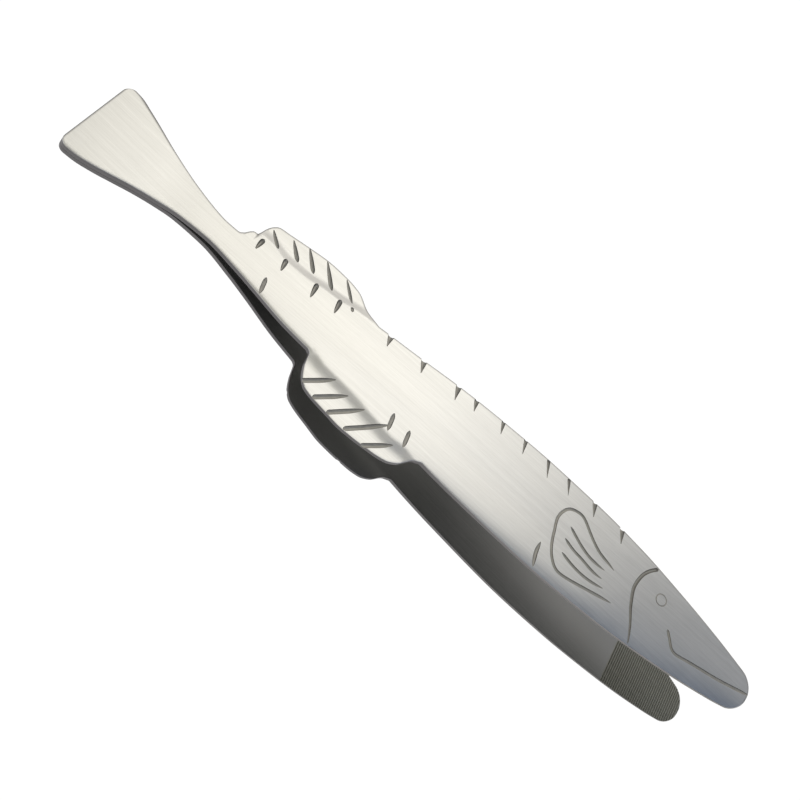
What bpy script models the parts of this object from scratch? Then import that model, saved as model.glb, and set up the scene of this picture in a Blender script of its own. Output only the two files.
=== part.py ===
"""Fish bone tweezers: two stamped steel arms in the outline of a fish, spot welded at the tail fin.

X runs from the tail fin to the nose, Y from the belly to the back and Z through both arms. The origin is
the middle of the whole, and the arms stand open, as they do when nobody squeezes them. Each arm is one
sheet that bends at its neck. It is drawn here as a tail leaf and a blade with the bending line between.
Sizes are in metres. Lists of shares give outline points and marks as parts of the sizes that they follow.
"""
import math

import bmesh
import bpy
import numpy as np
from mathutils import Matrix, Vector

# The steel sheet and the way the two arms lie together
ARM_LENGTH = 0.150
SHEET = 0.0011
SEAM_GAP = 0.0003
FLAT_TAIL = 0.0177
TIP_RISE = 0.00905
TIP_SHEET = 0.0007
TIP_TAPER = 0.020
EDGE_ROUND = 0.00028

# The bending line at the neck, where a blade leaves its tail leaf
HINGE_PLACE = 0.0307
HINGE_GAP = 0.0003

# The outline, measured from the fish's long axis
TAIL_TOP = 0.0095
TAIL_BOTTOM = 0.00815
TAIL_CORNER = 0.0018
TAIL_SLANT_SHARE = 0.06
NECK_PLACE = 0.0282
NECK_TOP = 0.0028
NECK_BOTTOM = 0.0022
BACK_HEIGHT = 0.00995
BELLY_DEPTH = 0.00875
NOSE_CORNER = 0.0030

# The two body fins, coined thinner than the body and set lower than its face
DORSAL_FIN_START = 0.0335
DORSAL_FIN_LENGTH = 0.0256
DORSAL_FIN_HEIGHT = 0.0055
DORSAL_FIN_SLOPE = 0.0014
ANAL_FIN_START = 0.0523
ANAL_FIN_LENGTH = 0.0266
ANAL_FIN_DEPTH = 0.0067
ANAL_FIN_SLOPE = 0.0024
FIN_STEP = 0.00045
FIN_SHEET = 0.0008

# The engraved marks on the outer faces
RAY_WIDTH = 0.0006
DASH_WIDTH = 0.00066
LINE_WIDTH = 0.00042
EYE_WIDTH = 0.0002
EYE_RADIUS = 0.00115

# The cross-cut gripping faces inside the nose
GRIP_LENGTH = 0.0165
GRIP_PITCH = 0.0005
GRIP_CUT = 0.0003

# The spot welds between the tail leaves
WELD_RADIUS = 0.0022
WELD_DEPTH = 0.00025
WELD_CLEARANCE = 0.0003
WELD_SHARES = {"tail_end_spot_weld": 0.34, "neck_spot_weld": 0.76}

# How finely the sheet and the cutters are drawn
COLUMN_STEP = 0.0042
COLUMN_LEAST = 0.0003
EDGE_MARGIN = 0.0007
OVERRUN = 0.0012
CORNER_MERGE = 0.000004
CORNER_TURNS = (0, 40, 65, 90)
INNER_ROWS = 1
WELD_SIDES = 24
EYE_SIDES = 12

# Tail fin edges: share of the neck's place, share of the way from neck width to tail width
TAIL_TOP_SHARES = [(0, 1), (0.11, 0.975), (0.21, 0.865), (0.32, 0.725), (0.47, 0.515), (0.63, 0.32),
                   (0.74, 0.195), (0.92, 0.04)]
TAIL_BOTTOM_SHARES = [(0, 1), (0.12, 0.95), (0.245, 0.805), (0.37, 0.605), (0.50, 0.40), (0.63, 0.23),
                      (0.77, 0.08), (0.92, 0.015)]
# Body edges: share of the way from neck to nose, share of the way from neck width to body width
BACK_SHARES = [(0, 0), (0.021, 0.01), (0.028, 0.10), (0.033, 0.24), (0.038, 0.315), (0.044, 0.32),
               (0.10, 0.325), (0.136, 0.355), (0.173, 0.435), (0.21, 0.535), (0.254, 0.61),
               (0.328, 0.72), (0.396, 0.84), (0.48, 0.945), (0.57, 1), (0.66, 0.985), (0.75, 0.885),
               (0.83, 0.695), (0.92, 0.43), (1, 0.15)]
BELLY_SHARES = [(0, 0), (0.052, 0.10), (0.089, 0.21), (0.155, 0.415), (0.22, 0.52), (0.28, 0.59),
                (0.337, 0.61), (0.37, 0.67), (0.416, 0.86), (0.51, 0.96), (0.617, 1), (0.736, 0.90),
                (0.857, 0.645), (0.95, 0.325), (1, 0.08)]
# Fin edges beyond the body edge: share of the fin's length, share of its height
DORSAL_FIN_SHARES = [(0, 0), (0.02, 0.44), (0.048, 0.67), (0.078, 0.78), (0.16, 0.84), (0.297, 0.94),
                     (0.453, 1), (0.625, 0.88), (0.758, 0.66), (0.883, 0.24), (1, 0)]
ANAL_FIN_SHARES = [(0, 0), (0.022, 0.07), (0.034, 0.21), (0.052, 0.41), (0.097, 0.71), (0.149, 0.86),
                   (0.216, 0.91), (0.34, 0.95), (0.466, 1), (0.58, 0.985), (0.70, 0.925), (0.81, 0.79),
                   (0.884, 0.55), (0.95, 0.15), (1, 0)]
# Rise of an arm off the middle plane: share of the way from flat tail to nose, share of the rise
RISE_SHARES = [(0, 0), (0.048, 0.014), (0.093, 0.047), (0.138, 0.092), (0.184, 0.145), (0.274, 0.267),
               (0.365, 0.399), (0.456, 0.514), (0.562, 0.61), (0.698, 0.726), (0.849, 0.859), (1, 1)]

# Marks are given as (share along, share across). Across, -1 is the belly edge, 1 the back edge,
# and a fin runs on to 2 or to -2.
DORSAL_RAY_SHARES = [((0.052, 1.84), (0.157, 1.12)), ((0.195, 1.90), (0.312, 1.24)),
                     ((0.31, 1.95), (0.443, 1.26)), ((0.456, 1.95), (0.606, 1.16)),
                     ((0.632, 1.93), (0.79, 1.12))]
DORSAL_DASH_SHARES = [((0.041, 1.0), (0.040, 0.37)), ((0.251, 1.01), (0.273, 0.43)),
                      ((0.513, 1.01), (0.535, 0.42)), ((0.702, 1.0), (0.724, 0.47))]
ANAL_RAY_SHARES = [((0.090, -1.95), (0.251, -1.12)), ((0.206, -1.95), (0.375, -1.17)),
                   ((0.333, -1.95), (0.508, -1.17)), ((0.475, -1.95), (0.66, -1.14)),
                   ((0.625, -1.95), (0.787, -1.40))]
BACK_NOTCH_SHARES = [0.275, 0.333, 0.395, 0.428, 0.477, 0.519, 0.563, 0.604, 0.655, 0.710]
BACK_NOTCH_LEAN_SHARE = 0.008
BACK_NOTCH_DEPTH_SHARE = 0.31
BELLY_DASH_SHARES = [((0.094, -0.24), (0.102, -0.93)), ((0.347, -0.70), (0.354, -1.02)),
                     ((0.378, -0.72), (0.384, -1.02))]
BELLY_LINE_SHARES = [(0.618, -0.47), (0.620, -0.69), (0.628, -0.94)]
PECTORAL_FIN_SHARES = [(0.752, -0.49), (0.716, -0.60), (0.673, -0.71), (0.648, -0.62), (0.630, -0.25),
                       (0.620, 0.15), (0.628, 0.49), (0.650, 0.57), (0.673, 0.40), (0.702, 0.21),
                       (0.731, 0.14)]
PECTORAL_RAY_SHARES = [[(0.652, -0.34), (0.689, -0.43), (0.730, -0.35)],
                       [(0.645, -0.06), (0.682, -0.17), (0.722, -0.20)],
                       [(0.643, 0.21), (0.678, 0.02), (0.719, -0.01)]]
GILL_SHARES = [(0.788, 0.97), (0.772, 0.57), (0.770, 0.16), (0.781, -0.28), (0.790, -0.50),
               (0.805, -0.98)]
MOUTH_SHARES = [(0.846, -0.06), (0.854, -0.21), (0.868, -0.42), (0.885, -0.41), (0.912, -0.32),
                (0.944, -0.20), (0.975, 0.01), (1.003, 0.26)]
EYE_SHARES = (0.814, 0.45)


def flowing_line(points):
    """Returns a function of the first coordinate that flows through the points and never overshoots."""
    places, heights = np.array(points, dtype=float).T
    steps = np.diff(places)
    slopes = np.diff(heights) / steps
    tangents = np.concatenate([slopes[:1], np.zeros(len(slopes) - 1), slopes[-1:]])
    before, after = slopes[:-1], slopes[1:]
    same_way = before * after > 0
    tangents[1:-1][same_way] = (2 * before * after)[same_way] / (before + after)[same_way]

    def height(place):
        place = min(max(place, places[0]), places[-1])
        index = min(max(int(np.searchsorted(places, place)) - 1, 0), len(steps) - 1)
        step = steps[index]
        part = (place - places[index]) / step
        rest = 1 - part
        from_points = heights[index] * (1 + 2 * part) * rest ** 2
        from_points += heights[index + 1] * (1 + 2 * rest) * part ** 2
        from_tangents = (tangents[index] * rest - tangents[index + 1] * part) * part * rest * step
        return float(from_points + from_tangents)

    return height


def edge_line(tail_shares, body_shares, tail_width, neck_width, body_width):
    """One edge of the fish without its body fins, from the tail end to the nose."""
    tail = [(NECK_PLACE * along, neck_width + (tail_width - neck_width) * share)
            for along, share in tail_shares]
    body = [(NECK_PLACE + (ARM_LENGTH - NECK_PLACE) * along, neck_width + (body_width - neck_width) * share)
            for along, share in body_shares]
    return flowing_line(tail + body)


def fin_line(shares, start, length, height):
    """The reach of a body fin beyond the body edge."""
    return flowing_line([(start + length * along, height * share) for along, share in shares])


back_line = edge_line(TAIL_TOP_SHARES, BACK_SHARES, TAIL_TOP, NECK_TOP, BACK_HEIGHT)
belly_line = edge_line(TAIL_BOTTOM_SHARES, BELLY_SHARES, TAIL_BOTTOM, NECK_BOTTOM, BELLY_DEPTH)
dorsal_fin = fin_line(DORSAL_FIN_SHARES, DORSAL_FIN_START, DORSAL_FIN_LENGTH, DORSAL_FIN_HEIGHT)
anal_fin = fin_line(ANAL_FIN_SHARES, ANAL_FIN_START, ANAL_FIN_LENGTH, ANAL_FIN_DEPTH)
rise_line = flowing_line([(FLAT_TAIL + (ARM_LENGTH - FLAT_TAIL) * along, TIP_RISE * share)
                          for along, share in RISE_SHARES])


def corner_loss(place):
    """How far the round corners of the tail end and the nose draw an edge in."""
    loss = 0
    for radius, distance in ((TAIL_CORNER, place), (NOSE_CORNER, ARM_LENGTH - place)):
        if distance < radius:
            loss = radius - math.sqrt(max(radius ** 2 - (radius - distance) ** 2, 0))
    return loss


def top_edge(place):
    return back_line(place) + dorsal_fin(place) - corner_loss(place)


def bottom_edge(place):
    return -belly_line(place) - anal_fin(place) + corner_loss(place)


def rows_at(place):
    """Y of each row of the sheet: the edges, the two lines of each fin's slope, and rows between."""
    top, bottom = top_edge(place), bottom_edge(place)
    margin = min(EDGE_MARGIN, (top - bottom) / (INNER_ROWS + 5))
    top_inner = min(back_line(place), top - 2 * margin)
    bottom_inner = max(-belly_line(place), bottom + 2 * margin)
    top_outer = min(top_inner + DORSAL_FIN_SLOPE, top - margin)
    bottom_outer = max(bottom_inner - ANAL_FIN_SLOPE, bottom + margin)
    between = np.linspace(bottom_inner, top_inner, INNER_ROWS + 2)
    return [bottom, bottom_outer, *between, top_outer, top]


def fin_share(place, height):
    """0 on the body, 1 on a fin and a steady slope between, as the die presses it."""
    on_dorsal = (height - back_line(place)) / DORSAL_FIN_SLOPE
    on_anal = (-height - belly_line(place)) / ANAL_FIN_SLOPE
    return min(max(on_dorsal, on_anal, 0), 1)


def tip_loss(place):
    """How much thinner the outer face is ground towards the nose."""
    return (SHEET - TIP_SHEET) * max(1 - (ARM_LENGTH - place) / TIP_TAPER, 0)


def gauge(place, height):
    """The thickness of the sheet, which is coined thinner on the fins and ground thinner at the nose."""
    return SHEET - (SHEET - FIN_SHEET) * fin_share(place, height) - tip_loss(place)


def outer_face(place, height):
    """A point on the outer face of the upper arm."""
    on_tail = max(1 - place / FLAT_TAIL, 0)
    slant = TAIL_SLANT_SHARE * (height + TAIL_BOTTOM) * on_tail
    drop = FIN_STEP * fin_share(place, height) + tip_loss(place)
    return Vector((place + slant, height, SEAM_GAP / 2 + SHEET + rise_line(place) - drop))


def columns(start, end):
    """X of each column of the sheet: every corner of the outline, and even steps between."""
    fins = [DORSAL_FIN_START + DORSAL_FIN_LENGTH * along for along, _ in DORSAL_FIN_SHARES]
    fins += [ANAL_FIN_START + ANAL_FIN_LENGTH * along for along, _ in ANAL_FIN_SHARES]
    neck = [NECK_PLACE + (ARM_LENGTH - NECK_PLACE) * along for along, _ in BACK_SHARES[:6]]
    turns = [1 - math.cos(math.radians(turn)) for turn in CORNER_TURNS]
    tail_corner = [TAIL_CORNER * turn for turn in turns]
    nose_corner = [ARM_LENGTH - NOSE_CORNER * turn for turn in turns]
    bends = [FLAT_TAIL, ARM_LENGTH - TIP_TAPER]
    keys = sorted(place for place in fins + neck + tail_corner + nose_corner + bends
                  if start + COLUMN_LEAST < place < end - COLUMN_LEAST)
    kept = [start]
    for place in keys + [end]:
        if place - kept[-1] > COLUMN_LEAST:
            count = math.ceil((place - kept[-1]) / COLUMN_STEP)
            kept += list(np.linspace(kept[-1], place, count + 1)[1:])
    return kept


def bending_point(side):
    """The middle of the sheet on the bending line, where a blade's joint lies."""
    return Vector((HINGE_PLACE, 0, side * (SEAM_GAP / 2 + SHEET / 2 + rise_line(HINGE_PLACE))))


def middle_of_outline():
    points = [outer_face(place, height) for place in columns(0, ARM_LENGTH) for height in rows_at(place)]
    along, across = [point.x for point in points], [point.y for point in points]
    return Vector((min(along) + max(along), min(across) + max(across), 0)) / 2


def steel(name, colour, roughness):
    material = bpy.data.materials.new(name)
    material.use_nodes = True
    shader = material.node_tree.nodes["Principled BSDF"]
    shader.inputs["Base Color"].default_value = (*colour, 1)
    shader.inputs["Metallic"].default_value = 1
    shader.inputs["Roughness"].default_value = roughness
    return material


def put(name, mesh, collection, material=None, pivot=None):
    """Adds an object for a mesh drawn from the tail end, with its origin at the pivot."""
    pivot = pivot or Vector()
    mesh.transform(Matrix.Translation(-pivot))
    obj = bpy.data.objects.new(name, mesh)
    obj.location = pivot - middle_of_outline()
    if material:
        mesh.materials.append(material)
    collection.objects.link(obj)
    return obj


def mesh_from(bm, name):
    mesh = bpy.data.meshes.new(name)
    bm.to_mesh(mesh)
    bm.free()
    return mesh


def smooth_but_keep_corners(mesh):
    mesh.shade_smooth()
    mesh.set_sharp_from_angle(angle=math.radians(40))


def mark_outline(bm):
    """Gives a bevel weight to the edges that run round the two faces of a unit plate."""
    weights = bm.edges.layers.float.new("bevel_weight_edge")
    for edge in bm.edges:
        first, last = (vert.co for vert in edge.verts)
        along_end = first.x == last.x and abs(first.x) == 1
        along_side = first.y == last.y and abs(first.y) == 1
        edge[weights] = first.z == last.z and (along_end or along_side)


def sheet_object(name, start, end, side, pivot, collection, material):
    """One stretch of an arm: a plate of one unit shaped to the fish, with its edges rounded."""
    places = columns(start, end)
    last_column, last_row = len(places) - 1, INNER_ROWS + 5
    bm = bmesh.new()
    bmesh.ops.create_grid(bm, x_segments=last_column, y_segments=last_row, size=1)
    raised = bmesh.ops.extrude_face_region(bm, geom=list(bm.faces))["geom"]
    for vert in (item for item in raised if isinstance(item, bmesh.types.BMVert)):
        vert.co.z = 1
    mark_outline(bm)
    for vert in bm.verts:
        place = places[round((vert.co.x + 1) / 2 * last_column)]
        height = rows_at(place)[round((vert.co.y + 1) / 2 * last_row)]
        vert.co = outer_face(place, height) - Vector((0, 0, gauge(place, height) * (1 - vert.co.z)))
    if side < 0:
        bmesh.ops.scale(bm, verts=bm.verts, vec=(1, 1, -1))
        bmesh.ops.reverse_faces(bm, faces=bm.faces)
    mesh = mesh_from(bm, name)
    smooth_but_keep_corners(mesh)
    obj = put(name, mesh, collection, material, pivot)
    bevel = obj.modifiers.new("rounded_edges", "BEVEL")
    bevel.width = EDGE_ROUND
    bevel.segments = 2
    bevel.limit_method = "WEIGHT"
    return obj


def cut(obj, cutter):
    """Cuts the cutter out of the object. The grooves are so fine that only this solver closes them."""
    boolean = obj.modifiers.new("cut_" + cutter.name, "BOOLEAN")
    boolean.operation = "DIFFERENCE"
    boolean.solver = "MANIFOLD"
    boolean.object = cutter


def cutter_settings(obj):
    obj.hide_render = True
    obj.display_type = "WIRE"
    return obj


def body_place(along):
    return NECK_PLACE + (ARM_LENGTH - NECK_PLACE) * along


def dorsal_place(along):
    return DORSAL_FIN_START + DORSAL_FIN_LENGTH * along


def anal_place(along):
    return ANAL_FIN_START + ANAL_FIN_LENGTH * along


def on_face(place, across):
    """The point of the outer face at a place along the fish and a share across it."""
    back, belly = back_line(place), belly_line(place)
    if -1 <= across <= 1:
        height = (back + belly) * (across + 1) / 2 - belly
    elif across > 1:
        height = back + dorsal_fin(place) * (across - 1)
    else:
        height = -belly - anal_fin(place) * (-across - 1)
    return outer_face(min(place, ARM_LENGTH), height) + Vector((max(place - ARM_LENGTH, 0), 0, 0))


def smooth_path(points, steps=3):
    """More points on a smooth path through the given ones."""
    along = flowing_line([(index, point[0]) for index, point in enumerate(points)])
    across = flowing_line([(index, point[1]) for index, point in enumerate(points)])
    count = (len(points) - 1) * steps
    return [(along(index / steps), across(index / steps)) for index in range(count + 1)]


def add_tube(curve, points, side, closed=False):
    """Adds one path to a cutter curve, mirrored to the arm's side."""
    spline = curve.splines.new("POLY")
    spline.points.add(len(points) - 1)
    for target, point in zip(spline.points, points):
        target.co = (point.x, point.y, point.z * side, 1)
    spline.use_cyclic_u = closed


def engraving(points, width, place_of, ends_rise=(True, True)):
    """A path in the outer face that rises out of it at its ends, so that the groove tapers away."""
    path = [on_face(place_of(along), across) for along, across in points]
    for end, rises in zip((0, -1), ends_rise):
        if rises:
            path[end].z += width / 2
    return path


def with_middle(pair):
    (first_along, first_across), (last_along, last_across) = pair
    return [pair[0], ((first_along + last_along) / 2, (first_across + last_across) / 2), pair[1]]


def cutter_curve(name, width):
    """An empty curve whose tube has four sides and stands on an edge, so that it cuts a V."""
    curve = bpy.data.curves.new(name, "CURVE")
    curve.dimensions = "3D"
    curve.twist_mode = "Z_UP"
    curve.bevel_depth = width / 2
    curve.bevel_resolution = 0
    curve.use_fill_caps = True
    return curve


def cutter_from(curve, pivot, collection):
    """Makes a cutter curve into a closed mesh object."""
    drawn = bpy.data.objects.new(curve.name, curve)
    collection.objects.link(drawn)
    evaluated = drawn.evaluated_get(bpy.context.evaluated_depsgraph_get())
    mesh = bpy.data.meshes.new_from_object(evaluated)
    name = curve.name
    bpy.data.objects.remove(drawn)
    bpy.data.curves.remove(curve)
    bm = bmesh.new()
    bm.from_mesh(mesh)
    bmesh.ops.remove_doubles(bm, verts=bm.verts, dist=CORNER_MERGE)
    bmesh.ops.recalc_face_normals(bm, faces=bm.faces)
    bm.to_mesh(mesh)
    bm.free()
    return cutter_settings(put(name, mesh, collection, pivot=pivot))


def ray_cutter(name, side, pivot, collection):
    """The spindle-shaped rays of the two body fins."""
    curve = cutter_curve(name + "_rays", RAY_WIDTH)
    for pair in DORSAL_RAY_SHARES:
        add_tube(curve, engraving(with_middle(pair), RAY_WIDTH, dorsal_place), side)
    for pair in ANAL_RAY_SHARES:
        add_tube(curve, engraving(with_middle(pair), RAY_WIDTH, anal_place), side)
    return cutter_from(curve, pivot, collection)


def dash_cutter(name, side, pivot, collection):
    """The short dashes: under the dorsal fin, along the back edge and along the belly."""
    curve = cutter_curve(name + "_dashes", DASH_WIDTH)
    blunt_start = (False, True)
    for pair in DORSAL_DASH_SHARES:
        add_tube(curve, engraving(pair, DASH_WIDTH, dorsal_place, blunt_start), side)
    for along in BACK_NOTCH_SHARES:
        inner_end = (along + BACK_NOTCH_LEAN_SHARE, 1 - BACK_NOTCH_DEPTH_SHARE)
        path = engraving([(along, 1), inner_end], DASH_WIDTH, body_place, blunt_start)
        path[0].y += OVERRUN
        add_tube(curve, path, side)
    for pair in BELLY_DASH_SHARES:
        add_tube(curve, engraving(with_middle(pair), DASH_WIDTH, body_place), side)
    return cutter_from(curve, pivot, collection)


def line_cutter(name, side, pivot, collection):
    """The long drawn lines: pectoral fin with its rays, gill cover, mouth and a belly line."""
    curve = cutter_curve(name + "_lines", LINE_WIDTH)
    paths = [PECTORAL_FIN_SHARES, GILL_SHARES, BELLY_LINE_SHARES, *PECTORAL_RAY_SHARES]
    for points in paths:
        add_tube(curve, engraving(smooth_path(points), LINE_WIDTH, body_place), side)
    add_tube(curve, engraving(smooth_path(MOUTH_SHARES), LINE_WIDTH, body_place, (True, False)), side)
    return cutter_from(curve, pivot, collection)


def eye_cutter(name, side, pivot, collection):
    """The thin ring of the eye."""
    curve = cutter_curve(name + "_eye", EYE_WIDTH)
    centre = on_face(body_place(EYE_SHARES[0]), EYE_SHARES[1])
    ring = []
    for step in range(EYE_SIDES):
        angle = 2 * math.pi * step / EYE_SIDES
        place = centre.x + EYE_RADIUS * math.cos(angle)
        ring.append(outer_face(place, centre.y + EYE_RADIUS * math.sin(angle)))
    add_tube(curve, ring, side, closed=True)
    return cutter_from(curve, pivot, collection)


def grip_cutter(name, side, pivot, collection):
    """The cross cuts of a gripping face, evenly spaced back from the nose on the inner face."""
    curve = cutter_curve(name + "_grip", GRIP_CUT)
    for step in range(int(GRIP_LENGTH / GRIP_PITCH)):
        place = ARM_LENGTH - GRIP_PITCH * (step + 1)
        level = SEAM_GAP / 2 + rise_line(place)
        ends = (bottom_edge(place) - OVERRUN, top_edge(place) + OVERRUN)
        add_tube(curve, [Vector((place, end, level)) for end in ends], side)
    return cutter_from(curve, pivot, collection)


def disc(name, place, radius, height, collection, material=None):
    """A short upright cylinder centred on the seam between the leaves."""
    bm = bmesh.new()
    bmesh.ops.create_cone(bm, cap_ends=True, segments=WELD_SIDES, radius1=radius, radius2=radius,
                          depth=height, matrix=Matrix.Translation((place, 0, 0)))
    mesh = mesh_from(bm, name)
    smooth_but_keep_corners(mesh)
    return put(name, mesh, collection, material)


def build_tail(parts, cutters):
    """The two tail leaves and the spot welds that hold them together."""
    weld_height = SEAM_GAP + 2 * WELD_DEPTH
    pockets = []
    for name, share in WELD_SHARES.items():
        place = FLAT_TAIL * share
        disc(name, place, WELD_RADIUS, weld_height, parts, steel(name + "_steel", (0.50, 0.50, 0.49), 0.45))
        pockets.append(cutter_settings(disc(name + "_pocket", place, WELD_RADIUS + WELD_CLEARANCE,
                                            weld_height + 2 * WELD_CLEARANCE, cutters)))
    for name, side in (("upper_tail_leaf", 1), ("lower_tail_leaf", -1)):
        material = steel(name + "_steel", (0.74, 0.72, 0.68), 0.32)
        leaf = sheet_object(name, 0, HINGE_PLACE - HINGE_GAP / 2, side, Vector(), parts, material)
        for pocket in pockets:
            cut(leaf, pocket)


def build_blade(name, side, parts, cutters):
    """One blade with its engraved marks and its gripping face."""
    pivot = bending_point(side)
    material = steel(name + "_steel", (0.76, 0.75, 0.73), 0.30)
    blade = sheet_object(name, HINGE_PLACE + HINGE_GAP / 2, ARM_LENGTH, side, pivot, parts, material)
    for make_cutter in (ray_cutter, dash_cutter, line_cutter, eye_cutter, grip_cutter):
        cut(blade, make_cutter(name, side, pivot, cutters))
    weld = blade.modifiers.new("merge_cut_corners", "WELD")
    weld.merge_threshold = CORNER_MERGE


def build():
    for obj in list(bpy.data.objects):
        bpy.data.objects.remove(obj, do_unlink=True)
    parts = bpy.data.collections.new("fish_bone_tweezers")
    cutters = bpy.data.collections.new("cutters")
    bpy.context.scene.collection.children.link(parts)
    bpy.context.scene.collection.children.link(cutters)
    build_tail(parts, cutters)
    build_blade("upper_arm", 1, parts, cutters)
    build_blade("lower_arm", -1, parts, cutters)


build()
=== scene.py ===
"""Fish bone tweezers, dressed for their studio picture.

Two stamped steel arms in the outline of a fish lie together at the tail fin and stand open at the nose.
Lengths are in metres. A place is measured along the fish from the tail end and a height across it from its
long axis. Each arm is one sheet here, though the frame has a hinge at its neck.
"""
import logging
import math
from dataclasses import dataclass, replace
from enum import Enum
from typing import Any

import bmesh
import bpy
import numpy as np
from mathutils import Matrix, Vector


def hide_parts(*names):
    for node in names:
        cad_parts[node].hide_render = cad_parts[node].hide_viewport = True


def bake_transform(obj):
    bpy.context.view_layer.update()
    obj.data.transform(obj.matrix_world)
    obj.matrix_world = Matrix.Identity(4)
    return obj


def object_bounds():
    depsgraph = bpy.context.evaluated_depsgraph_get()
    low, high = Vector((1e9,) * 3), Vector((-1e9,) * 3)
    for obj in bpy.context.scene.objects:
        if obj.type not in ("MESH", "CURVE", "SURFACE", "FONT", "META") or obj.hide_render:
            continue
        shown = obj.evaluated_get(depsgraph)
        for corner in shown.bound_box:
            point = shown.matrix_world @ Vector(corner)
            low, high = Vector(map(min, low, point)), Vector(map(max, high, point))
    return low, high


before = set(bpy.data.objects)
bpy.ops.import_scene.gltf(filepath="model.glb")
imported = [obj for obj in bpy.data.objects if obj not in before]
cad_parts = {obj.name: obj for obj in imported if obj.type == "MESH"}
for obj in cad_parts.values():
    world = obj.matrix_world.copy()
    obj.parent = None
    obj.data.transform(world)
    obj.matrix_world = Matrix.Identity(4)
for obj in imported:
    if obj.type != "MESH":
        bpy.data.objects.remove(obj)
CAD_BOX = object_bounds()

Array = np.ndarray
Pair = tuple[float, float]
Triple = tuple[float, float, float]
Colour = Triple
Points = tuple[Pair, ...]

LOG = logging.getLogger("fish_bone_tweezers")
MM = 0.001
TINY = 1e-12


class Side(Enum):
    """Which arm of the two: the value is the sign of its height above the middle plane."""

    UPPER = 1
    LOWER = -1


class Face(Enum):
    """The zones of an arm that have a finish of their own, some of them darkened with painted shade: the
    value is the material slot.
    """

    OUTER = 0
    INNER = 1
    RIM = 2
    GRIP = 3
    MARK = 4
    GRIP_CUT = 5


# Curves and objects


@dataclass(frozen=True)
class EdgeCurve:
    """A curve through given points that never swings past them."""

    points: Points

    def __call__(self, place: Array) -> Array:
        """Gives the height of the curve.

        Cubic pieces join the points. The slope at a point is the harmonic mean of the slopes on its two
        sides, and level where these have opposite signs.

        Args:
            place: Places along the curve, an array of any shape.

        Returns:
            The heights, in the same shape.
        """
        places, heights = np.array(self.points, dtype=float).T
        steps = np.diff(places)
        slopes = np.diff(heights) / steps
        before, after = slopes[:-1], slopes[1:]
        same_way = before * after > 0
        total = np.where(same_way, before + after, 1)
        inner = np.where(same_way, 2 * before * after / total, 0)
        tangents = np.concatenate([slopes[:1], inner, slopes[-1:]])
        place = np.clip(place, places[0], places[-1])
        index = np.clip(np.searchsorted(places, place) - 1, 0, len(steps) - 1)
        step = steps[index]
        part = (place - places[index]) / step
        rest = 1 - part
        from_points = heights[index] * (1 + 2 * part) * rest ** 2
        from_points = from_points + heights[index + 1] * (1 + 2 * rest) * part ** 2
        return from_points + (tangents[index] * rest - tangents[index + 1] * part) * part * rest * step


@dataclass(frozen=True)
class BentCurve:
    """A curve through given points that bends as evenly as a thin strip of steel."""

    points: Points

    def __call__(self, place: Array) -> Array:
        """Gives the height of the curve.

        Cubic pieces join the points. Slope and bend don't jump where two pieces meet, and the bend is nil
        at both ends.

        Args:
            place: Places along the curve, an array of any shape.

        Returns:
            The heights, in the same shape.
        """
        places, heights = np.array(self.points, dtype=float).T
        steps = np.diff(places)
        count = len(places)
        system = np.eye(count)
        inner = np.arange(1, count - 1)
        system[inner, inner - 1] = steps[:-1]
        system[inner, inner] = 2 * (steps[:-1] + steps[1:])
        system[inner, inner + 1] = steps[1:]
        slopes = np.diff(heights) / steps
        pull = np.zeros(count)
        pull[1:-1] = 6 * np.diff(slopes)
        bends = np.linalg.solve(system, pull)
        place = np.clip(place, places[0], places[-1])
        index = np.clip(np.searchsorted(places, place) - 1, 0, count - 2)
        step = steps[index]
        before, after = places[index + 1] - place, place - places[index]
        cubic = (bends[index] * before ** 3 + bends[index + 1] * after ** 3) / (6 * step)
        left = (heights[index] / step - bends[index] * step / 6) * before
        right = (heights[index + 1] / step - bends[index + 1] * step / 6) * after
        return cubic + left + right


def smooth_step(share: Array) -> Array:
    """Turns a share from 0 to 1 into one that starts and ends level: three squares less two cubes."""
    share = np.clip(share, 0, 1)
    return share * share * (3 - 2 * share)


def add_object(name: str, data: bpy.types.ID) -> bpy.types.Object:
    """Adds an object to the scene.

    Args:
        name: Its name.
        data: Its mesh, lamp or camera.

    Returns:
        The object.
    """
    added = bpy.data.objects.new(name, data)
    bpy.context.scene.collection.objects.link(added)
    return added


# The form of an arm


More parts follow.
